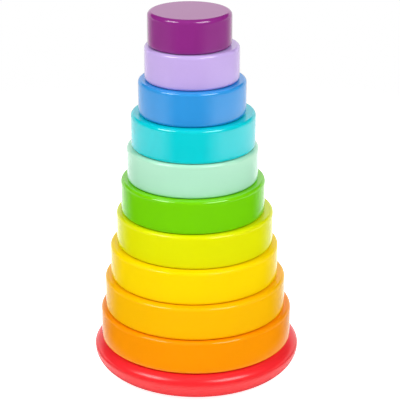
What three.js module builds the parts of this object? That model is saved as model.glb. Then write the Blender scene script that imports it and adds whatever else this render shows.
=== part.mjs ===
// A rainbow stacking tower: turned wooden rings and a cap, threaded on a dowel that is glued into a round base.
// Units are millimetres, +Z is up, and the origin is the middle of the base's underside.

import * as THREE from 'three';

// The base, a thick turned plate. Its rim swells to a widest line, then tucks in deeply towards the floor.
const BASE_DIAMETER = 124.6;
const BASE_THICKNESS = 18;
const SHOULDER_DROP = 5.5; // from the top face down to the rim's widest line
const SHOULDER_WIDTH = 9; // how far the shoulder's curve reaches in over the top face
const TUCK_WIDTH = 15.5; // how far the rim tucks in below its widest line
const SOCKET_FLOOR = 6; // wood left under the post

// The post, a plain dowel with a domed end.
const POST_DIAMETER = 12;
const POST_DOME_HEIGHT = 5;
const POST_FOOT_CHAMFER = 1;
const GLUE_GAP = 0.3; // round the post and under it, in the socket of the base

// The rings and the cap, all turned from one board.
const BOARD_THICKNESS = 20;
const ORANGE_DIAMETER = 115.4;
const AMBER_DIAMETER = 108.7;
const YELLOW_DIAMETER = 100.7;
const LIME_DIAMETER = 93.7;
const GREEN_DIAMETER = 85.6;
const MINT_DIAMETER = 77.6;
const TURQUOISE_DIAMETER = 73.2;
const BLUE_DIAMETER = 63;
const LAVENDER_DIAMETER = 55.1;
const CAP_DIAMETER = 48.6;
const BORE_DIAMETER = 22; // loose on the post, so that a small hand can thread a ring
const OUTER_EDGE_ROUND = 1.8;
const CAP_EDGE_ROUND = 2.6; // of the cap's top edge
const BORE_EDGE_ROUND = 1.5;
const CAP_ROOF = 8; // wood left above the cap's blind socket
const CAP_HEADROOM = 3; // from the end of the post to the roof of that socket
const SEAT_GAP = 0.3; // between a piece and the one that it rests on

// The rings from the base up. A loose ring settles off centre: sits is that offset along X and Y,
// as shares of the play between its bore and the post.
const RINGS = [
  { name: 'orange_ring', diameter: ORANGE_DIAMETER, colour: '#fe9a00', sits: [-0.05, -0.08] },
  { name: 'amber_ring', diameter: AMBER_DIAMETER, colour: '#febf01', sits: [-0.16, -0.18] },
  { name: 'yellow_ring', diameter: YELLOW_DIAMETER, colour: '#feda00', sits: [-0.26, -0.06] },
  { name: 'lime_ring', diameter: LIME_DIAMETER, colour: '#e6e902', sits: [-0.18, 0.25] },
  { name: 'green_ring', diameter: GREEN_DIAMETER, colour: '#78d501', sits: [-0.39, 0.1] },
  { name: 'mint_ring', diameter: MINT_DIAMETER, colour: '#b5eccd', sits: [-0.43, 0.14] },
  { name: 'turquoise_ring', diameter: TURQUOISE_DIAMETER, colour: '#02d2d9', sits: [-0.34, 0.07] },
  { name: 'blue_ring', diameter: BLUE_DIAMETER, colour: '#3198e2', sits: [-0.46, -0.01] },
  { name: 'lavender_ring', diameter: LAVENDER_DIAMETER, colour: '#c8aeeb', sits: [-0.48, -0.01] },
];
const CAP = { name: 'purple_cap', colour: '#902985', sits: [-0.74, -0.09] };
const BASE = { name: 'base_plate', colour: '#fb383f' };
const POST = { name: 'post', colour: '#d9b384' };

// How finely the turned pieces are faceted.
const FACETS_AROUND = 36;
const EDGE_STEPS = 3; // along each rounded outer edge
const BORE_STEPS = 2; // along each rounded bore edge
const RIM_STEPS = 6; // along each curve of the base's rim
const DOME_STEPS = 4; // up the post's domed end

const LACQUER_ROUGHNESS = 0.22;
const SATIN_ROUGHNESS = 0.4;
const BARE_WOOD_ROUGHNESS = 0.6;

// Quarter turns in the plane of a profile, where x is the radius and y the height.
const DOWN = -Math.PI / 2;
const OUT = 0;
const UP = Math.PI / 2;
const IN = Math.PI;
const DOWN_AGAIN = 1.5 * Math.PI;

const postRadius = POST_DIAMETER / 2;
const boreRadius = BORE_DIAMETER / 2;
const play = boreRadius - postRadius;

// The heights of the stack follow from its pieces.
const seatOf = (place) => BASE_THICKNESS + SEAT_GAP + place * (BOARD_THICKNESS + SEAT_GAP);
const capSeat = seatOf(RINGS.length);
const capSocketDepth = BOARD_THICKNESS - CAP_ROOF;
const postTop = capSeat + capSocketDepth - CAP_HEADROOM;

// Points of an elliptic arc about (x, y), from one direction round to another.
function arc(x, y, halfWidth, halfHeight, from, to, steps) {
  return new THREE.EllipseCurve(x, y, halfWidth, halfHeight, from, to).getPoints(steps);
}

// A turned solid: the profile, walked with the wood on its left, spun about the Z axis.
function turn(profile) {
  return new THREE.LatheGeometry(profile, FACETS_AROUND).rotateX(Math.PI / 2);
}

// The outer wall of a ring or cap with its rounded edges, from its underside up to its top face.
function outerWall(radius, topRound) {
  const round = OUTER_EDGE_ROUND;
  return [
    ...arc(radius - round, round, round, round, DOWN, OUT, EDGE_STEPS),
    ...arc(radius - topRound, BOARD_THICKNESS - topRound, topRound, topRound, OUT, UP, EDGE_STEPS),
  ];
}

// The rounded mouth of a bore where it opens through an underside, from the wall out to the face.
function boreMouth() {
  const round = BORE_EDGE_ROUND;
  return arc(boreRadius + round, round, round, round, IN, DOWN_AGAIN, BORE_STEPS);
}

function ringGeometry(diameter) {
  const round = BORE_EDGE_ROUND;
  const topOfBore = arc(boreRadius + round, BOARD_THICKNESS - round, round, round, UP, IN, BORE_STEPS);
  const profile = [...outerWall(diameter / 2, OUTER_EDGE_ROUND), ...topOfBore, ...boreMouth()];
  profile.push(profile[0].clone());
  return turn(profile);
}

function capGeometry() {
  return turn([
    new THREE.Vector2(0, capSocketDepth),
    new THREE.Vector2(boreRadius, capSocketDepth),
    ...boreMouth(),
    ...outerWall(CAP_DIAMETER / 2, CAP_EDGE_ROUND),
    new THREE.Vector2(0, BOARD_THICKNESS),
  ]);
}

function baseGeometry() {
  const radius = BASE_DIAMETER / 2;
  const widest = BASE_THICKNESS - SHOULDER_DROP;
  const socketRadius = postRadius + GLUE_GAP;
  const tuck = arc(radius - TUCK_WIDTH, widest, TUCK_WIDTH, widest, DOWN, OUT, RIM_STEPS);
  const shoulder = arc(radius - SHOULDER_WIDTH, widest, SHOULDER_WIDTH, SHOULDER_DROP, OUT, UP, RIM_STEPS);
  return turn([
    new THREE.Vector2(0, 0),
    ...tuck,
    ...shoulder.slice(1),
    new THREE.Vector2(socketRadius, BASE_THICKNESS),
    new THREE.Vector2(socketRadius, SOCKET_FLOOR),
    new THREE.Vector2(0, SOCKET_FLOOR),
  ]);
}

function postGeometry() {
  const foot = SOCKET_FLOOR + GLUE_GAP;
  const dome = arc(0, postTop - POST_DOME_HEIGHT, postRadius, POST_DOME_HEIGHT, OUT, UP, DOME_STEPS);
  return turn([
    new THREE.Vector2(0, foot),
    new THREE.Vector2(postRadius - POST_FOOT_CHAMFER, foot),
    new THREE.Vector2(postRadius, foot + POST_FOOT_CHAMFER),
    ...dome.slice(0, -1),
    new THREE.Vector2(0, postTop),
  ]);
}

// A named mesh in its own finish.
function piece({ name, colour }, geometry, roughness) {
  const material = new THREE.MeshStandardMaterial({ color: colour, roughness, metalness: 0 });
  const mesh = new THREE.Mesh(geometry, material);
  mesh.name = name;
  return mesh;
}

// Drops a loose piece onto its seat, off centre on the post by its own share of the play.
function thread(mesh, seat, [alongX, alongY]) {
  mesh.position.set(alongX * play, alongY * play, seat);
  return mesh;
}

const tower = new THREE.Group();
tower.add(piece(BASE, baseGeometry(), SATIN_ROUGHNESS));
tower.add(piece(POST, postGeometry(), BARE_WOOD_ROUGHNESS));
RINGS.forEach((ring, place) => {
  const mesh = piece(ring, ringGeometry(ring.diameter), LACQUER_ROUGHNESS);
  tower.add(thread(mesh, seatOf(place), ring.sits));
});
tower.add(thread(piece(CAP, capGeometry(), LACQUER_ROUGHNESS), capSeat, CAP.sits));

export default tower;
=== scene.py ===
"""Looks of a rainbow stacking tower: lacquered turned rings and a cap, a beech post and a satin base.

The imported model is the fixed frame. Each of its solids is replaced by a finely turned surface of the
same size, worked out with numpy, in a finish of its own. All lengths are metres.
"""

import logging
import math
from dataclasses import dataclass, replace
from enum import Enum
from typing import Any, Union

import bpy
import numpy as np
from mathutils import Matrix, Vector


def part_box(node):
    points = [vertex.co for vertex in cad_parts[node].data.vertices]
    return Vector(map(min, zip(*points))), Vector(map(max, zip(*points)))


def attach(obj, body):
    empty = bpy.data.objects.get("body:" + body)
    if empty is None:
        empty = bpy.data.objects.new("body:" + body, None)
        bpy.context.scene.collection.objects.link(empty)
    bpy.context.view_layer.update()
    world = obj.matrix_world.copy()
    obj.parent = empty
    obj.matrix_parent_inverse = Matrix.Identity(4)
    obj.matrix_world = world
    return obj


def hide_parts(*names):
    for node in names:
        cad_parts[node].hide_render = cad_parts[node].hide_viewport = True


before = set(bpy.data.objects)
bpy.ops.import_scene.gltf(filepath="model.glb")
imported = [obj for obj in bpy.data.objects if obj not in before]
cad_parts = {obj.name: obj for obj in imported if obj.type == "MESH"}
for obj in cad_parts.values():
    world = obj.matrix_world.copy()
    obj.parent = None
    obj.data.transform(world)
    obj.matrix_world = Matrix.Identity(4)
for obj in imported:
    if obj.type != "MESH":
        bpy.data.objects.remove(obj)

LOG = logging.getLogger("stacking_tower")
MM = 0.001

Colour = tuple[float, float, float]
Number = Union["Signal", float]

# Fineness of the turned surfaces
SEGMENTS_AROUND = 240
EDGE_ROWS = 10
RIM_ROWS = 28
GUARD = 0.25 * MM
ROW_STEP = 3.0 * MM

# Sizes that the solids' boxes don't show
EDGE_ROUND = 1.8 * MM
CAP_EDGE_ROUND = 2.6 * MM
BORE_RADIUS = 11.0 * MM
BORE_ROUND = 1.5 * MM
SEAT_FILL = 0.27 * MM
CAP_SOCKET_DEPTH = 12.0 * MM
SOCKET_CORNER = 0.6 * MM
SHOULDER_DROP = 5.5 * MM
SHOULDER_WIDTH = 9.0 * MM
TUCK_WIDTH = 15.5 * MM
SOCKET_FLOOR = 6.0 * MM
GLUE_GAP = 0.3 * MM
SOCKET_LIP = 0.4 * MM
POST_DOME = 5.0 * MM
POST_CHAMFER = 1.0 * MM

# Attributes that the finishes read
EDGE_NAME = "rounded_edge"
BORE_NAME = "inside_bore"
RIM_NAME = "above_rim"


def srgb(red: int, green: int, blue: int) -> Colour:
    """Turns a colour as a screen shows it into linear light.

    Args:
        red: Red from 0 to 255.
        green: Green from 0 to 255.
        blue: Blue from 0 to 255.

    Returns:
        The three linear shares.
    """
    share = np.array([red, green, blue]) / 255
    linear = np.where(share <= 0.04045, share / 12.92, ((share + 0.055) / 1.055) ** 2.4)
    return tuple(float(x) for x in linear)


class Signal:
    """A shader socket that stands for a number in a Python expression."""

    def __init__(self, bench: "Bench", socket: bpy.types.NodeSocket) -> None:
        """Keeps the socket and the bench that it belongs to."""
        self.bench = bench
        self.socket = socket

    def _math(self, operation: str, first: Number, second: Number) -> "Signal":
        """Adds one Math node on two numbers and gives its result."""
        return self.bench.add("ShaderNodeMath", {"operation": operation}, {0: first, 1: second})

    def __add__(self, other: Number) -> "Signal":
        """Sum."""
        return self._math("ADD", self, other)

    def __radd__(self, other: Number) -> "Signal":
        """Sum, with the number on the left."""
        return self._math("ADD", other, self)

    def __sub__(self, other: Number) -> "Signal":
        """Difference."""
        return self._math("SUBTRACT", self, other)

    def __rsub__(self, other: Number) -> "Signal":
        """Difference, with the number on the left."""
        return self._math("SUBTRACT", other, self)

    def __mul__(self, other: Number) -> "Signal":
        """Product."""
        return self._math("MULTIPLY", self, other)

    def __rmul__(self, other: Number) -> "Signal":
        """Product, with the number on the left."""
        return self._math("MULTIPLY", other, self)

    def __pow__(self, other: Number) -> "Signal":
        """Power."""
        return self._math("POWER", self, other)

    def at_most(self, other: Number) -> "Signal":
        """The smaller of the two."""
        return self._math("MINIMUM", self, other)

    def at_least(self, other: Number) -> "Signal":
        """The larger of the two."""
        return self._math("MAXIMUM", self, other)


class Bench:
    """The node tree of one material or of the world."""

    MIX_OUTPUT = 2
    MIX_FIRST = 6
    MIX_SECOND = 7

    def __init__(self, tree: bpy.types.NodeTree) -> None:
        """Empties the tree."""
        self.tree = tree
        tree.nodes.clear()

    def add(
        self,
        kind: str,
        settings: dict[str, Any] | None = None,
        inputs: dict[str | int, Any] | None = None,
        output: str | int = 0,
    ) -> Signal:
        """Adds any node.

        Args:
            kind: The node's type.
            settings: Attributes of the node, set before its sockets.
            inputs: Values or signals by socket name or index.
            output: The socket that the result reads.

        Returns:
            The chosen output.
        """
        node = self.tree.nodes.new(kind)
        for name, value in (settings or {}).items():
            setattr(node, name, value)
        for key, value in (inputs or {}).items():
            socket = node.inputs[key]
            if isinstance(value, Signal):
                self.tree.links.new(value.socket, socket)
            else:
                socket.default_value = value
        return Signal(self, node.outputs[output] if len(node.outputs) else None)

    def place(self, centre: Vector, turn: float) -> Signal:
        """Object coordinates about a piece's own axis.

        Args:
            centre: The point that becomes the origin.
            turn: The board's grain, in degrees about the vertical.

        Returns:
            The centred and turned coordinates.
        """
        where = self.add("ShaderNodeTexCoord", output="Object")
        return self.add(
            "ShaderNodeMapping",
            {"vector_type": "TEXTURE"},
            {"Vector": where, "Location": centre, "Rotation": (0, 0, math.radians(turn))},
        )

    def stretch(self, vector: Signal, per_metre: Colour) -> Signal:
        """Coordinates multiplied along each axis."""
        return self.add("ShaderNodeVectorMath", {"operation": "MULTIPLY"}, {0: vector, 1: per_metre})

    def noise(self, vector: Signal, scale: float, detail: float = 2.0) -> Signal:
        """Soft noise about 0.5."""
        return self.add("ShaderNodeTexNoise", None, {"Vector": vector, "Scale": scale, "Detail": detail})

    def step(self, value: Signal, low: float, high: float) -> Signal:
        """A smooth step from 0 at low to 1 at high."""
        settings = {"interpolation_type": "SMOOTHSTEP"}
        return self.add("ShaderNodeMapRange", settings, {"Value": value, "From Min": low, "From Max": high})

    def angle(self, across: Signal, ahead: Signal) -> Signal:
        """The angle of a direction, from straight ahead towards across, in radians."""
        return self.add("ShaderNodeMath", {"operation": "ARCTAN2"}, {0: across, 1: ahead})

    def blend(self, factor: Number, first: Any, second: Any) -> Signal:
        """A colour between two colours."""
        inputs = {0: factor, self.MIX_FIRST: first, self.MIX_SECOND: second}
        return self.add("ShaderNodeMix", {"data_type": "RGBA"}, inputs, self.MIX_OUTPUT)

    def shade(self, colour: Any, level: Number) -> Signal:
        """A colour made lighter or darker by a number."""
        return self.add("ShaderNodeVectorMath", {"operation": "SCALE"}, {0: colour, "Scale": level})

    def attribute(self, name: str) -> Signal:
        """A number that the mesh carries at each vertex."""
        return self.add("ShaderNodeAttribute", {"attribute_name": name}, output="Fac")

    def bump(self, height: Signal) -> Signal:
        """A normal raised by a height in metres."""
        return self.add("ShaderNodeBump", None, {"Strength": 1.0, "Distance": 1.0, "Height": height})

    def finish(self, shader: Signal, kind: str = "ShaderNodeOutputMaterial") -> None:
        """Sends a shader to the output."""
        self.add(kind, None, {"Surface": shader})


@dataclass(frozen=True)
class Coat:
    """How a lacquer lies on the wood.

    Attributes:
        roughness: Mean roughness of the surface.
        smudge: How much the roughness wanders.
        grain_depth: How far the grain stands out under the lacquer, in metres.
        grain_tone: How much the grain shows in the colour.
        peel_depth: Height of the lacquer's own fine ripple, in metres.
        turning_depth: Height of the marks left by the lathe, in metres.
        turning_tone: How much those marks show in the colour.
        ior: How strongly the lacquer reflects.
    """

    roughness: float
    smudge: float
    grain_depth: float
    grain_tone: float
    peel_depth: float
    turning_depth: float
    turning_tone: float
    ior: float


class Sheen(Enum):
    """The lacquers on the tower."""

    GLOSS = Coat(
        roughness=0.09,
        smudge=0.04,
        grain_depth=4.0e-6,
        grain_tone=0.02,
        peel_depth=5.0e-6,
        turning_depth=1.5e-6,
        turning_tone=0.01,
        ior=1.6,
    )
    SOFT_GLOSS = replace(GLOSS, roughness=0.08, ior=1.42)
    MELLOW = replace(GLOSS, roughness=0.1, ior=1.27)
    SATIN = Coat(
        roughness=0.245,
        smudge=0.03,
        grain_depth=1.0e-6,
        grain_tone=0.04,
        peel_depth=4.0e-6,
        turning_depth=0.0,
        turning_tone=0.04,
        ior=1.52,
    )


@dataclass(frozen=True)
class Lacquer:
    """Opaque coloured lacquer on a turned piece.

    Attributes:
        name: Name of the material.
        colour: The pigment, in linear light.
        sheen: Which lacquer it is.
        grain_turn: The board's grain, in degrees about the vertical.
    """

    name: str
    colour: Colour
    sheen: Sheen
    grain_turn: float

    FIBRE = (28.0, 650.0, 650.0)
    FIBRE_DETAIL = 3.0
    PEEL_SCALE = 620.0
    MOTTLE_SCALE = 30.0
    SMUDGE_SCALE = 75.0
    SMUDGE_DETAIL = 4.0
    MOTTLE = 0.04
    WEAR_TONE = 0.03
    WEAR_STEP = (0.35, 0.75)
    WEAR_PALER = 0.25
    BORE_ROUGHNESS = 0.22
    BORE_GRAIN = 2.0
    TURNING_SCALE = 900.0
    TURNING_RUN = 40.0
    TURNING_DETAIL = 3.0

    def turning_marks(self, bench: Bench, place: Signal) -> Signal:
        """Fine marks that run round the axis: noise of the radius and height, which changes slowly along x.

        Args:
            bench: The material's tree.
            place: Coordinates about the piece's axis.

        Returns:
            A number about 0.5.
        """
        x = bench.add("ShaderNodeSeparateXYZ", None, {0: place}, "X")
        y = bench.add("ShaderNodeSeparateXYZ", None, {0: place}, "Y")
        z = bench.add("ShaderNodeSeparateXYZ", None, {0: place}, "Z")
        radius = (x * x + y * y) ** 0.5
        inputs = {"X": self.TURNING_SCALE * radius, "Y": self.TURNING_SCALE * z, "Z": self.TURNING_RUN * x}
        return bench.noise(bench.add("ShaderNodeCombineXYZ", None, inputs), 1.0, self.TURNING_DETAIL)

    def material(self, centre: Vector) -> bpy.types.Material:
        """Makes the material: pigment with faint grain, worn edges, smudges and a fine ripple.

        Args:
            centre: The piece's own axis, about which the grain lies.

        Returns:
            The material.
        """
        made = bpy.data.materials.new(self.name)
        made.use_nodes = True
        bench = Bench(made.node_tree)
        coat = self.sheen.value
        place = bench.place(centre, self.grain_turn)
        fibre = bench.noise(bench.stretch(place, self.FIBRE), 1.0, self.FIBRE_DETAIL)
        peel = bench.noise(place, self.PEEL_SCALE)
        mottle = bench.noise(place, self.MOTTLE_SCALE)
        smudge = bench.noise(place, self.SMUDGE_SCALE, self.SMUDGE_DETAIL)
        edge = bench.attribute(EDGE_NAME)
        bore = bench.attribute(BORE_NAME)
        worn = edge * bench.step(smudge, *self.WEAR_STEP)
        marks = self.turning_marks(bench, place)
        tone = 1.0 + self.MOTTLE * (mottle - 0.5) + coat.grain_tone * (fibre - 0.5)
        tone = tone + coat.turning_tone * (marks - 0.5)
        pigment = bench.shade(self.colour, tone)
        paler = tuple(x + (1 - x) * self.WEAR_PALER for x in self.colour) + (1.0,)
        colour = bench.blend(worn * self.WEAR_TONE, pigment, paler)
        roughness = coat.roughness + coat.smudge * (smudge - 0.5) + self.BORE_ROUGHNESS * bore
        height = coat.grain_depth * (1.0 + self.BORE_GRAIN * bore) * fibre + coat.peel_depth * peel
        height = height + coat.turning_depth * marks
        shader = bench.add(
            "ShaderNodeBsdfPrincipled",
            None,
            {
                "Base Color": colour,
                "Roughness": roughness,
                "IOR": coat.ior,
                "Normal": bench.bump(height),
            },
        )
        bench.finish(shader)
        return made


@dataclass(frozen=True)
class BareBeech:
    """Sanded beech with no lacquer, its grain along the vertical.

    Attributes:
        name: Name of the material.
        pale: The early wood, in linear light.
        dark: The late wood.
        fleck: The short rays.
    """

    name: str
    pale: Colour
    dark: Colour
    fleck: Colour

    RINGS = (330.0, 330.0, 9.0)
    FLECKS = (2600.0, 2600.0, 260.0)
    FIBRES = (1900.0, 1900.0, 60.0)
    ROUGHNESS = 0.55
    ROUGHNESS_SPREAD = 0.14
    FIBRE_DEPTH = 2.0e-5
    FIBRE_DETAIL = 3.0
    FIBRE_TONE = 0.24
    BAND_STEP = (0.3, 0.7)
    FLECK_STEP = (0.66, 0.74)
    FLECK_DETAIL = 1.0
    FLECK_TONE = 0.7

    def material(self, centre: Vector) -> bpy.types.Material:
        """Makes the material: growth bands, fine fibres and short dark flecks.

        Args:
            centre: The dowel's own axis.

        Returns:
            The material.
        """
        made = bpy.data.materials.new(self.name)
        made.use_nodes = True
        bench = Bench(made.node_tree)
        place = bench.place(centre, 0.0)
        bands = bench.noise(bench.stretch(place, self.RINGS), 1.0)
        fibres = bench.noise(bench.stretch(place, self.FIBRES), 1.0, self.FIBRE_DETAIL)
        rays = bench.noise(bench.stretch(place, self.FLECKS), 1.0, self.FLECK_DETAIL)
        wood = bench.blend(bench.step(bands, *self.BAND_STEP), self.pale + (1.0,), self.dark + (1.0,))
        wood = bench.shade(wood, 1.0 + self.FIBRE_TONE * (fibres - 0.5))
        colour = bench.blend(bench.step(rays, *self.FLECK_STEP) * self.FLECK_TONE, wood, self.fleck + (1.0,))
        roughness = self.ROUGHNESS + self.ROUGHNESS_SPREAD * (fibres - 0.5)
        shader = bench.add(
            "ShaderNodeBsdfPrincipled",
            None,
            {
                "Base Color": colour,
                "Roughness": roughness,
                "Normal": bench.bump(self.FIBRE_DEPTH * fibres),
            },
        )
        bench.finish(shader)
        return made


class Zone(Enum):
    """What a stretch of a turned profile is on the finished piece."""

    FACE = "face"
    WALL = "wall"
    EDGE = "edge"
    BORE = "bore"
    BORE_EDGE = "bore edge"


@dataclass(frozen=True)
class Stretch:
    """A run of points of a profile, as radius and height, in one zone."""

    points: np.ndarray
    zone: Zone

    @property
    def wear(self) -> np.ndarray:
        """How far each point is a rounded edge.

        Returns:
            Half a sine wave along an edge, and 0 elsewhere.
        """
        along = np.linspace(0, 1, len(self.points))
        rounded = self.zone in (Zone.EDGE, Zone.BORE_EDGE)
        return np.sin(np.pi * along) * rounded

    @property
    def inside(self) -> np.ndarray:
        """1 where a point lies in a bore, 0 elsewhere."""
        return np.full(len(self.points), float(self.zone is Zone.BORE))


def straight(start: tuple[float, float], end: tuple[float, float], zone: Zone) -> Stretch:
    """A straight stretch: evenly spaced rows, with a guard row close to each end that keeps it flat.

    Args:
        start: Radius and height of the first point.
        end: Radius and height of the last point.
        zone: What the stretch is.

    Returns:
        The stretch.
    """
    first, last = np.array(start), np.array(end)
    length = float(np.linalg.norm(last - first))
    guard = min(GUARD / length, 0.25)
    rows = max(int(length / ROW_STEP), 1)
    share = np.concatenate([[0.0], np.linspace(guard, 1 - guard, rows + 1), [1.0]])
    return Stretch(first + share[:, None] * (last - first), zone)


def arc(
    centre: tuple[float, float],
    half: tuple[float, float],
    degrees: tuple[float, float],
    zone: Zone,
    rows: int = EDGE_ROWS,
) -> Stretch:
    """An elliptic stretch: centre plus half axes times cosine and sine of an even run of angles.

    Args:
        centre: Radius and height of the ellipse's middle.
        half: Its half width and half height.
        degrees: The first and last angle, from the outward direction.
        zone: What the stretch is.
        rows: How many steps it has.

    Returns:
        The stretch.
    """
    angle = np.radians(np.linspace(*degrees, rows + 1))
    points = np.stack([centre[0] + half[0] * np.cos(angle), centre[1] + half[1] * np.sin(angle)], axis=1)
    return Stretch(points, zone)


@dataclass
class Turning:
    """A surface turned about a vertical axis from a profile walked with the wood on its left.

    Attributes:
        stretches: The profile from its first point to its last.
        closed: True if the profile closes on itself, False if both its ends lie on the axis.
    """

    stretches: list[Stretch]
    closed: bool

    def _joined(self, values: list[np.ndarray]) -> np.ndarray:
        """Joins one array per stretch, each without the point that the stretch before it ends on."""
        whole = np.concatenate([values[0]] + [v[1:] for v in values[1:]])
        return whole[:-1] if self.closed else whole

    def grid(self, centre: Vector) -> np.ndarray:
        """Vertices: each profile point carried round the axis, radius times sine and cosine of the angle.

        Args:
            centre: The axis of the piece.

        Returns:
            An array of profile rows by segments by three.
        """
        profile = self._joined([s.points for s in self.stretches])
        angle = np.linspace(0, 2 * np.pi, SEGMENTS_AROUND, endpoint=False)
        radius, height = profile[:, :1], profile[:, 1:]
        x = centre.x + radius * np.cos(angle)
        y = centre.y + radius * np.sin(angle)
        z = np.broadcast_to(height, x.shape)
        return np.stack([x, y, z], axis=2)

    def quads(self, rows: int) -> np.ndarray:
        """Corner numbers of the quads between neighbouring rows and segments, wound to face outwards.

        Args:
            rows: How many rows the grid has.

        Returns:
            Four numbers for each quad.
        """
        row = np.arange(rows if self.closed else rows - 1)[:, None]
        column = np.arange(SEGMENTS_AROUND)[None, :]
        above = (row + 1) % rows
        beside = (column + 1) % SEGMENTS_AROUND
        corners = [(row, column), (row, beside), (above, beside), (above, column)]
        return np.stack([r * SEGMENTS_AROUND + c for r, c in corners], axis=2).reshape(-1, 4)

    def mesh(self, name: str, centre: Vector) -> bpy.types.Mesh:
        """Makes the mesh, with its poles merged and its zones as attributes.

        Args:
            name: Name of the mesh.
            centre: The axis of the piece.

        Returns:
            The mesh.
        """
        grid = self.grid(centre)
        rows = len(grid)
        numbers = np.arange(rows * SEGMENTS_AROUND)
        if not self.closed:
            numbers[:SEGMENTS_AROUND] = 0
            numbers[-SEGMENTS_AROUND:] = (rows - 1) * SEGMENTS_AROUND
        kept, compact = np.unique(numbers, return_inverse=True)
        corners = compact[self.quads(rows)]
        repeated = corners == np.roll(corners, 1, axis=1)
        totals = 4 - repeated.sum(axis=1)
        mesh = bpy.data.meshes.new(name)
        mesh.vertices.add(len(kept))
        mesh.vertices.foreach_set("co", grid.reshape(-1, 3)[kept].astype(np.float32).ravel())
        mesh.loops.add(int(totals.sum()))
        mesh.loops.foreach_set("vertex_index", corners[~repeated].astype(np.int32))
        mesh.polygons.add(len(totals))
        starts = np.concatenate([[0], np.cumsum(totals)[:-1]])
        mesh.polygons.foreach_set("loop_start", starts.astype(np.int32))
        mesh.update(calc_edges=True)
        for label, values in ((EDGE_NAME, "wear"), (BORE_NAME, "inside")):
            along = self._joined([getattr(s, values) for s in self.stretches])
            spread = np.repeat(along, SEGMENTS_AROUND)[kept].astype(np.float32)
            mesh.attributes.new(label, "FLOAT", "POINT").data.foreach_set("value", spread)
        mesh.shade_smooth()
        return mesh


@dataclass
class TurnedPiece:
    """A turned piece that stands for one solid of the frame.

    Attributes:
        node: The solid that it replaces.
        body: The body that it rides on.
        slot: A material slot's name; not used.
        finish: What it is finished in.
        seat_fill: How far its top face rises to meet the piece that rests on it.
        top_round: Radius of its top edge.
    """

    node: str
    body: str
    slot: str
    finish: Lacquer | BareBeech
    seat_fill: float = 0.0
    top_round: float = EDGE_ROUND

    def __post_init__(self) -> None:
        """Reads the piece's axis, heights and radius from its solid."""
        low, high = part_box(self.node)
        self.bottom = low.z
        self.top = high.z + self.seat_fill
        self.radius = (high.x - low.x) / 2
        self.centre = Vector(((low.x + high.x) / 2, (low.y + high.y) / 2, 0))

    def turning(self) -> Turning:
        """The piece's profile."""
        raise NotImplementedError

    def outer_wall(self) -> list[Stretch]:
        """The outer wall with its two rounded edges, from the underside up to the top face.

        Returns:
            The lower edge, the wall and the upper edge.
        """
        low, high = self.bottom + EDGE_ROUND, self.top - self.top_round
        lower, upper = (EDGE_ROUND, EDGE_ROUND), (self.top_round, self.top_round)
        return [
            arc((self.radius - EDGE_ROUND, low), lower, (-90, 0), Zone.EDGE),
            straight((self.radius, low), (self.radius, high), Zone.WALL),
            arc((self.radius - self.top_round, high), upper, (0, 90), Zone.EDGE),
        ]

    def bore_mouth(self) -> Stretch:
        """The rounded mouth of a bore in the underside, from the wall out to the face."""
        middle = (BORE_RADIUS + BORE_ROUND, self.bottom + BORE_ROUND)
        return arc(middle, (BORE_ROUND, BORE_ROUND), (180, 270), Zone.BORE_EDGE)

    def underside(self) -> Stretch:
        """The flat underside from the bore's mouth to the outer edge."""
        inner, outer = BORE_RADIUS + BORE_ROUND, self.radius - EDGE_ROUND
        return straight((inner, self.bottom), (outer, self.bottom), Zone.FACE)

    def make(self) -> bpy.types.Object:
        """Builds the mesh, dresses it and puts it in place of its solid.

        Returns:
            The finished piece.
        """
        name = f"{self.node}_turned"
        mesh = self.turning().mesh(name, self.centre)
        mesh.materials.append(self.finish.material(self.centre))
        piece = bpy.data.objects.new(name, mesh)
        bpy.context.scene.collection.objects.link(piece)
        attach(piece, self.body)
        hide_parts(self.node)
        LOG.info("%s: %d faces, %.1f mm across", name, len(mesh.polygons), 2 * self.radius / MM)
        return piece


@dataclass
class Ring(TurnedPiece):
    """A ring with a rounded bore right through it."""

    seat_fill: float = SEAT_FILL

    def turning(self) -> Turning:
        """The closed profile: outer wall, top face, bore and underside.

        Returns:
            The profile.
        """
        inner, high = BORE_RADIUS + BORE_ROUND, self.top - BORE_ROUND
        bore_top = arc((inner, high), (BORE_ROUND, BORE_ROUND), (90, 180), Zone.BORE_EDGE)
        bore_wall = straight((BORE_RADIUS, high), (BORE_RADIUS, self.bottom + BORE_ROUND), Zone.BORE)
        top_face = straight((self.radius - self.top_round, self.top), (inner, self.top), Zone.FACE)
        stretches = [*self.outer_wall(), top_face, bore_top, bore_wall, self.bore_mouth(), self.underside()]
        return Turning(stretches, closed=True)


@dataclass
class Cap(TurnedPiece):
    """The top disc, whole above and with a blind socket below."""

    top_round: float = CAP_EDGE_ROUND

    def turning(self) -> Turning:
        """The profile from the socket's roof, down its wall, round the outside and in over the top.

        Returns:
            The profile.
        """
        roof = self.bottom + CAP_SOCKET_DEPTH
        corner = (BORE_RADIUS - SOCKET_CORNER, roof - SOCKET_CORNER)
        half = (SOCKET_CORNER, SOCKET_CORNER)
        return Turning(
            [
                straight((0, roof), (corner[0], roof), Zone.BORE),
                arc(corner, half, (90, 0), Zone.BORE),
                straight((BORE_RADIUS, corner[1]), (BORE_RADIUS, self.bottom + BORE_ROUND), Zone.BORE),
                self.bore_mouth(),
                self.underside(),
                *self.outer_wall(),
                straight((self.radius - self.top_round, self.top), (0, self.top), Zone.FACE),
            ],
            closed=False,
        )


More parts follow.
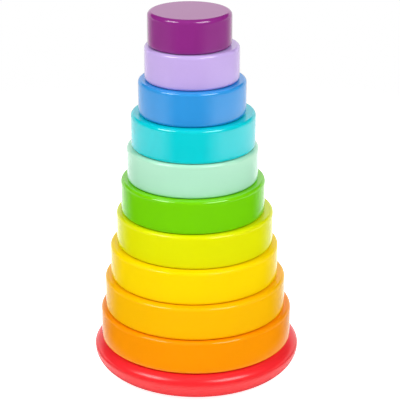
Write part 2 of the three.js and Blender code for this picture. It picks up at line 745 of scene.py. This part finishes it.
@dataclass
class BasePlate(TurnedPiece):
    """The base, with a swelling rim that tucks in below and a blind socket for the post."""

    seat_fill: float = SEAT_FILL
    post_radius: float = 6.0 * MM

    def turning(self) -> Turning:
        """The profile from the middle of the underside, up round the rim and down into the socket.

        Returns:
            The profile.
        """
        widest = self.top - self.seat_fill - SHOULDER_DROP
        foot = self.radius - TUCK_WIDTH
        shoulder = self.radius - SHOULDER_WIDTH
        socket = self.post_radius + GLUE_GAP
        mouth = socket + SOCKET_LIP
        floor = self.bottom + SOCKET_FLOOR
        lip = arc((mouth, self.top - SOCKET_LIP), (SOCKET_LIP, SOCKET_LIP), (90, 180), Zone.BORE_EDGE)
        return Turning(
            [
                straight((0, self.bottom), (foot, self.bottom), Zone.FACE),
                arc((foot, widest), (TUCK_WIDTH, widest - self.bottom), (-90, 0), Zone.WALL, RIM_ROWS),
                arc((shoulder, widest), (SHOULDER_WIDTH, self.top - widest), (0, 90), Zone.WALL, RIM_ROWS),
                straight((shoulder, self.top), (mouth, self.top), Zone.FACE),
                lip,
                straight((socket, self.top - SOCKET_LIP), (socket, floor), Zone.BORE),
                straight((socket, floor), (0, floor), Zone.BORE),
            ],
            closed=False,
        )


@dataclass
class Post(TurnedPiece):
    """The dowel, chamfered where it is glued in and domed at its end."""

    def turning(self) -> Turning:
        """The profile from the middle of the foot, up the wall and over the dome.

        Returns:
            The profile.
        """
        shoulder = self.top - POST_DOME
        foot = self.radius - POST_CHAMFER
        return Turning(
            [
                straight((0, self.bottom), (foot, self.bottom), Zone.FACE),
                straight((foot, self.bottom), (self.radius, self.bottom + POST_CHAMFER), Zone.EDGE),
                straight((self.radius, self.bottom + POST_CHAMFER), (self.radius, shoulder), Zone.WALL),
                arc((0, shoulder), (self.radius, POST_DOME), (0, 90), Zone.EDGE, RIM_ROWS),
            ],
            closed=False,
        )


def from_camera_side(azimuth: float, elevation: float) -> Vector:
    """A unit direction from the tower, by degrees to the right of the camera and above the horizon."""
    turn, rise = math.radians(azimuth), math.radians(elevation)
    return Vector((math.sin(turn) * math.cos(rise), -math.cos(turn) * math.cos(rise), math.sin(rise)))


def add_stage(name: str, points: np.ndarray, material: bpy.types.Material) -> bpy.types.Object:
    """Adds a surface that belongs to the studio and not to the tower.

    Args:
        name: Name of the object and of its mesh.
        points: A grid of vertices, rows by columns by three.
        material: What it is made of.

    Returns:
        The object.
    """
    rows, columns = points.shape[:2]
    number = np.arange(rows * columns).reshape(rows, columns)
    corners = [number[:-1, :-1], number[:-1, 1:], number[1:, 1:], number[1:, :-1]]
    quads = np.stack(corners, axis=2).reshape(-1, 4)
    mesh = bpy.data.meshes.new(name)
    mesh.from_pydata(points.reshape(-1, 3).tolist(), [], quads.tolist())
    mesh.materials.append(material)
    made = bpy.data.objects.new(name, mesh)
    bpy.context.scene.collection.objects.link(made)
    return made


@dataclass(frozen=True)
class Softbox:
    """A rectangular lamp that faces the tower.

    Attributes:
        name: Name of the lamp.
        azimuth: Its direction from the tower, in degrees to the right of the camera.
        elevation: Its height above the horizon, in degrees.
        width: Its width as a share of its distance.
        height: Its height as a share of its distance.
        radiance: How bright its face is, where a white background is 1.
        in_shine: Whether the gloss shows it.
    """

    name: str
    azimuth: float
    elevation: float
    width: float
    height: float
    radiance: float
    in_shine: bool = True

    DISTANCE = 2.2

    def make(self, aim: Vector) -> bpy.types.Object:
        """Hangs the lamp and turns it to the tower.

        Args:
            aim: The point that it faces.

        Returns:
            The lamp.
        """
        data = bpy.data.lights.new(self.name, "AREA")
        data.shape = "RECTANGLE"
        data.size = self.width * self.DISTANCE
        data.size_y = self.height * self.DISTANCE
        data.energy = self.radiance * math.pi * data.size * data.size_y
        lamp = bpy.data.objects.new(self.name, data)
        away = from_camera_side(self.azimuth, self.elevation)
        lamp.location = aim + away * self.DISTANCE
        lamp.rotation_euler = away.to_track_quat("Z", "Y").to_euler()
        lamp.visible_camera = False
        lamp.visible_glossy = self.in_shine
        bpy.context.scene.collection.objects.link(lamp)
        return lamp


def shown(bench: Bench) -> Signal:
    """Tells rays that show the background, in the camera or in a shine, from light on the tower.

    Args:
        bench: The tree that asks.

    Returns:
        1 for a ray that shows it and 0 for light.
    """
    camera = bench.add("ShaderNodeLightPath", output="Is Camera Ray")
    glossy = bench.add("ShaderNodeLightPath", output="Is Glossy Ray")
    through = bench.add("ShaderNodeLightPath", output="Is Transmission Ray")
    return camera.at_least(glossy).at_least(through)


@dataclass(frozen=True)
class Floor:
    """The white floor, which keeps the shadow, fades to the white surround, and is clear from below.

    Attributes:
        half: Half the length of its sides.
        white: How white it is.
        glow: Its own light on the tower, where a white background is 1.
        shine_glow: How much more of it the gloss sees.
        shown_glow: How much more of it the camera sees.
        fade: Distances from the axis between which it gives way to the surround.
    """

    half: float = 4.0
    white: float = 0.9
    glow: float = 0.24
    shine_glow: float = 0.3
    shown_glow: float = 0.66
    fade: tuple[float, float] = (0.3, 0.6)

    LIFT = 0.05 * MM

    def material(self) -> bpy.types.Material:
        """Makes the white of the floor.

        Returns:
            The material.
        """
        made = bpy.data.materials.new("floor_white")
        made.use_nodes = True
        bench = Bench(made.node_tree)
        seen = shown(bench)
        shine = bench.add("ShaderNodeLightPath", output="Is Glossy Ray")
        where = bench.add("ShaderNodeTexCoord", output="Object")
        away = bench.add("ShaderNodeVectorMath", {"operation": "LENGTH"}, {0: where}, "Value")
        below = bench.add("ShaderNodeNewGeometry", output="Backfacing")
        hidden = (bench.step(away, *self.fade) * seen).at_least(below)
        matte = bench.add("ShaderNodeBsdfDiffuse", None, {"Color": (self.white, self.white, self.white, 1.0)})
        lit = self.glow + self.shown_glow * seen - (self.shown_glow - self.shine_glow) * shine
        glow = bench.add("ShaderNodeEmission", None, {"Strength": lit})
        floor = bench.add("ShaderNodeAddShader", None, {0: matte, 1: glow})
        clear = bench.add("ShaderNodeBsdfTransparent")
        bench.finish(bench.add("ShaderNodeMixShader", None, {0: hidden, 1: floor, 2: clear}))
        return made

    def make(self) -> bpy.types.Object:
        """Lays the floor: one square, just above the base's underside.

        Returns:
            The floor.
        """
        side = np.array([-self.half, self.half])
        x, y = np.meshgrid(side, side, indexing="xy")
        points = np.stack([x, y, np.full_like(x, self.LIFT)], axis=2)
        return add_stage("floor", points, self.material())


@dataclass(frozen=True)
class ShineScreen:
    """A studio surface that only the gloss sees.

    Attributes:
        tone: How bright its dark is, where a white background is 1.
    """

    tone: float = 0.02

    COLUMNS = 97

    @property
    def azimuth(self) -> np.ndarray:
        """Angles all round the tower from straight behind it, as one row."""
        return np.radians(np.linspace(-180, 180, self.COLUMNS))[None, :]

    def screen(self, bench: Bench, cover: Signal, light: Any) -> None:
        """Finishes a material that shows a light where it covers and is clear elsewhere.

        Args:
            bench: The material's tree.
            cover: 1 where it covers and 0 where it is clear.
            light: The colour that it shows where it covers.
        """
        lit = bench.add("ShaderNodeEmission", None, {"Color": light})
        clear = bench.add("ShaderNodeBsdfTransparent")
        bench.finish(bench.add("ShaderNodeMixShader", None, {0: cover, 1: clear, 2: lit}))

    def hang(self, name: str, points: np.ndarray, material: bpy.types.Material) -> bpy.types.Object:
        """Adds the surface and keeps it out of everything but reflections.

        Args:
            name: Name of the surface.
            points: A grid of vertices, rows by columns by three.
            material: What it is made of.

        Returns:
            The surface.
        """
        made = add_stage(name, points, material)
        made.visible_camera = False
        made.visible_diffuse = False
        made.visible_transmission = False
        made.visible_volume_scatter = False
        made.visible_shadow = False
        return made


@dataclass(frozen=True)
class DarkRoom(ShineScreen):
    """The dark room that the gloss reflects: a dome, open low down behind the tower.

    Attributes:
        radius: The dome's radius.
        front: Elevation of its rim in front of the tower, in degrees.
        back: Elevation of its rim straight behind the tower, in degrees.
        opening: The power by which the rim rises from front to back.
        fade: Over how many degrees above the rim it grows dark.
    """

    radius: float = 3.2
    front: float = -14.0
    back: float = 23.5
    opening: float = 1.4
    fade: float = 7.5

    ROWS = 49

    def material(self) -> bpy.types.Material:
        """Makes the dark, which fades in above the rim.

        Returns:
            The material.
        """
        made = bpy.data.materials.new("room_dark")
        made.use_nodes = True
        bench = Bench(made.node_tree)
        dark = bench.step(bench.attribute(RIM_NAME), 0.0, self.fade)
        self.screen(bench, dark, (self.tone, self.tone, self.tone, 1.0))
        return made

    def make(self) -> bpy.types.Object:
        """Hangs the dome.

        Each point is the radius times the direction of an azimuth and an elevation. The rim's elevation
        goes from front to back with a power of half a cosine wave of the azimuth.

        Returns:
            The dome.
        """
        behind = (1 - np.cos(self.azimuth)) / 2
        rim = self.front + (self.back - self.front) * behind**self.opening
        degrees = rim + (90 - rim) * np.linspace(0, 1, self.ROWS)[:, None]
        rise = np.radians(degrees)
        x = np.sin(self.azimuth) * np.cos(rise)
        y = -np.cos(self.azimuth) * np.cos(rise)
        points = self.radius * np.stack([x, y, np.sin(rise)], axis=2)
        room = self.hang("dark_room", points, self.material())
        above = (degrees - rim).astype(np.float32).ravel()
        room.data.attributes.new(RIM_NAME, "FLOAT", "POINT").data.foreach_set("value", above)
        return room


@dataclass(frozen=True)
class FrontCard(ShineScreen):
    """A dark card on the floor, which keeps the white floor out of the front walls' shine.

    It fades out towards the tower and round both sides, and comes back close under the rim, where it is a
    painted shadow of the base on the floor, and straight behind the tower. Further out, where the upper rings
    see it, it has a lit panel on each side.
    Angles are degrees to the right of the camera.

    Attributes:
        inner: Its inner radius.
        reach: Its outer radius.
        contact: Distances between which the painted shadow close under the rim fades out.
        painted_rim_shadow: How far that painted shadow of the base covers the floor.
        start: Distances between which the card itself begins.
        side: Angles between which it ends on either side.
        side_centre: How far in front of the axis those angles are measured from.
        behind: Angles between which it comes back behind the tower.
        left: Angles between which the left panel ends.
        right: Angles between which the right panel begins.
        left_glow: How bright the left panel is.
        right_glow: How bright the right panel is.
        near: Distances between which the panels begin.
        far: Distances between which the panels grow dim.
        far_share: How much of their light is left there.
    """

    inner: float = 0.045
    reach: float = 1.6
    contact: tuple[float, float] = (0.056, 0.073)
    painted_rim_shadow: float = 0.8
    start: tuple[float, float] = (0.068, 0.1)
    side: tuple[float, float] = (108.0, 156.0)
    side_centre: float = 0.04
    behind: tuple[float, float] = (163.0, 171.0)
    left: tuple[float, float] = (-66.0, -28.0)
    right: tuple[float, float] = (14.0, 62.0)
    left_glow: float = 1.1
    right_glow: float = 1.5
    near: tuple[float, float] = (0.36, 0.46)
    far: tuple[float, float] = (0.48, 0.8)
    far_share: float = 0.22

    ROWS = 24

    def material(self) -> bpy.types.Material:
        """Makes the card's dark and its two panels.

        Returns:
            The material.
        """
        made = bpy.data.materials.new("card_dark")
        made.use_nodes = True
        bench = Bench(made.node_tree)
        where = bench.add("ShaderNodeTexCoord", output="Object")
        along = bench.add("ShaderNodeSeparateXYZ", None, {0: where}, "X")
        ahead = 0.0 - bench.add("ShaderNodeSeparateXYZ", None, {0: where}, "Y")
        away = bench.add("ShaderNodeVectorMath", {"operation": "LENGTH"}, {0: where}, "Value")
        turn = bench.angle(along, ahead)
        aside = turn.at_least(0.0 - turn)
        lean = bench.angle(along, ahead - self.side_centre)
        sides = 1.0 - bench.step(lean.at_least(0.0 - lean), *np.radians(self.side))
        behind = bench.step(aside, *np.radians(self.behind))
        # Painted shadow: close under the rim the card darkens the floor's shine, as the base's own shadow
        # would.
        contact = self.painted_rim_shadow * (1.0 - bench.step(away, *self.contact))
        cover = (sides * bench.step(away, *self.start)).at_least(behind).at_least(contact)
        left = self.left_glow * (1.0 - bench.step(turn, *np.radians(self.left)))
        right = self.right_glow * bench.step(turn, *np.radians(self.right))
        fall = 1.0 - (1.0 - self.far_share) * bench.step(away, *self.far)
        panels = (left + right) * (1.0 - behind) * bench.step(away, *self.near) * fall
        self.screen(bench, cover, self.tone + panels)
        return made

    def make(self) -> bpy.types.Object:
        """Lays the card: each point is a radius times the sine and cosine of an azimuth.

        Returns:
            The card.
        """
        radius = np.linspace(self.inner, self.reach, self.ROWS)[:, None]
        x = radius * np.sin(self.azimuth)
        y = -radius * np.cos(self.azimuth)
        points = np.stack([x, y, np.full_like(x, 2 * Floor.LIFT)], axis=2)
        return self.hang("front_card", points, self.material())


@dataclass(frozen=True)
class Studio:
    """The camera, the white surround, the floor, the surfaces that the gloss sees, and the lamps.

    Attributes:
        elevation: The camera's height above the horizon, in degrees.
        distance: From the camera to its target.
        lens_mm: Its focal length.
        target: The point that the camera and the lamps face.
        sky_light: How strongly the surround lights the tower, where a white background is 1.
    """

    elevation: float = 21.14
    distance: float = 0.8996
    lens_mm: float = 135.5
    target: tuple[float, float, float] = (2.19 * MM, 0.0, 104.95 * MM)
    sky_light: float = 0.25

    SOFTBOXES = (
        Softbox("left_softbox", -61.0, 47.0, 0.45, 0.39, 8.05),
        Softbox("right_softbox", 45.0, 47.0, 0.52, 0.39, 7.75),
        Softbox("rear_fill", 180.0, 12.0, 0.6, 0.4, 4.0, in_shine=False),
        Softbox("top_fill", 0.0, 84.0, 0.4, 0.4, 2.6, in_shine=False),
    )

    def make_camera(self) -> None:
        """Sets the camera at the photograph's angle."""
        data = bpy.data.cameras.new("camera")
        data.lens = self.lens_mm
        camera = bpy.data.objects.new("camera", data)
        away = from_camera_side(0.0, self.elevation)
        camera.location = Vector(self.target) + away * self.distance
        camera.rotation_euler = away.to_track_quat("Z", "Y").to_euler()
        bpy.context.scene.collection.objects.link(camera)
        bpy.context.scene.camera = camera

    def make_world(self) -> None:
        """Makes a white surround that lights the tower softly."""
        world = bpy.data.worlds.new("white_surround")
        world.use_nodes = True
        bench = Bench(world.node_tree)
        level = self.sky_light + (1.0 - self.sky_light) * shown(bench)
        shader = bench.add("ShaderNodeBackground", None, {"Color": (1, 1, 1, 1), "Strength": level})
        bench.finish(shader, "ShaderNodeOutputWorld")
        bpy.context.scene.world = world

    def make(self) -> None:
        """Makes everything round the tower, in plain colours."""
        self.make_camera()
        self.make_world()
        for surface in (Floor(), DarkRoom(), FrontCard()):
            LOG.info("studio: %s", surface.make().name)
        for softbox in self.SOFTBOXES:
            LOG.info("studio: %s", softbox.make(Vector(self.target)).name)
        bpy.context.scene.view_settings.view_transform = "Standard"


def tower() -> list[TurnedPiece]:
    """The tower's pieces from the base up.

    Returns:
        The pieces, ready to be made.
    """
    gloss = Sheen.GLOSS
    base = BasePlate("base_plate", "base", "red_lacquer", Lacquer("red", srgb(249, 38, 46), Sheen.SATIN, 8))
    beech = BareBeech("beech", srgb(222, 184, 138), srgb(196, 150, 104), srgb(140, 92, 56))
    post = Post("post", "base", "bare_beech", beech)
    shades = {
        "orange": (srgb(254, 154, 0), Sheen.SOFT_GLOSS, 20),
        "amber": (srgb(254, 191, 1), Sheen.SOFT_GLOSS, 75),
        "yellow": (srgb(254, 218, 0), Sheen.MELLOW, 140),
        "lime": (srgb(230, 233, 2), Sheen.SOFT_GLOSS, 35),
        "green": (srgb(120, 213, 1), gloss, 110),
        "mint": (srgb(181, 236, 205), gloss, 60),
        "turquoise": (srgb(2, 210, 217), gloss, 160),
        "blue": (srgb(49, 152, 226), gloss, 15),
        "lavender": (srgb(200, 174, 235), gloss, 95),
    }
    rings = [
        Ring(f"{name}_ring", name, f"{name}_lacquer", Lacquer(name, *shade))
        for name, shade in shades.items()
    ]
    cap = Cap("purple_cap", "cap", "purple_lacquer", Lacquer("purple", srgb(144, 41, 133), gloss, 50))
    return [base, post, *rings, cap]


def main() -> None:
    """Builds the studio and the tower."""
    logging.basicConfig(level=logging.INFO, format="%(name)s: %(message)s")
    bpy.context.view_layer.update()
    Studio().make()
    for piece in tower():
        piece.make()


if __name__ == "__main__":
    main()
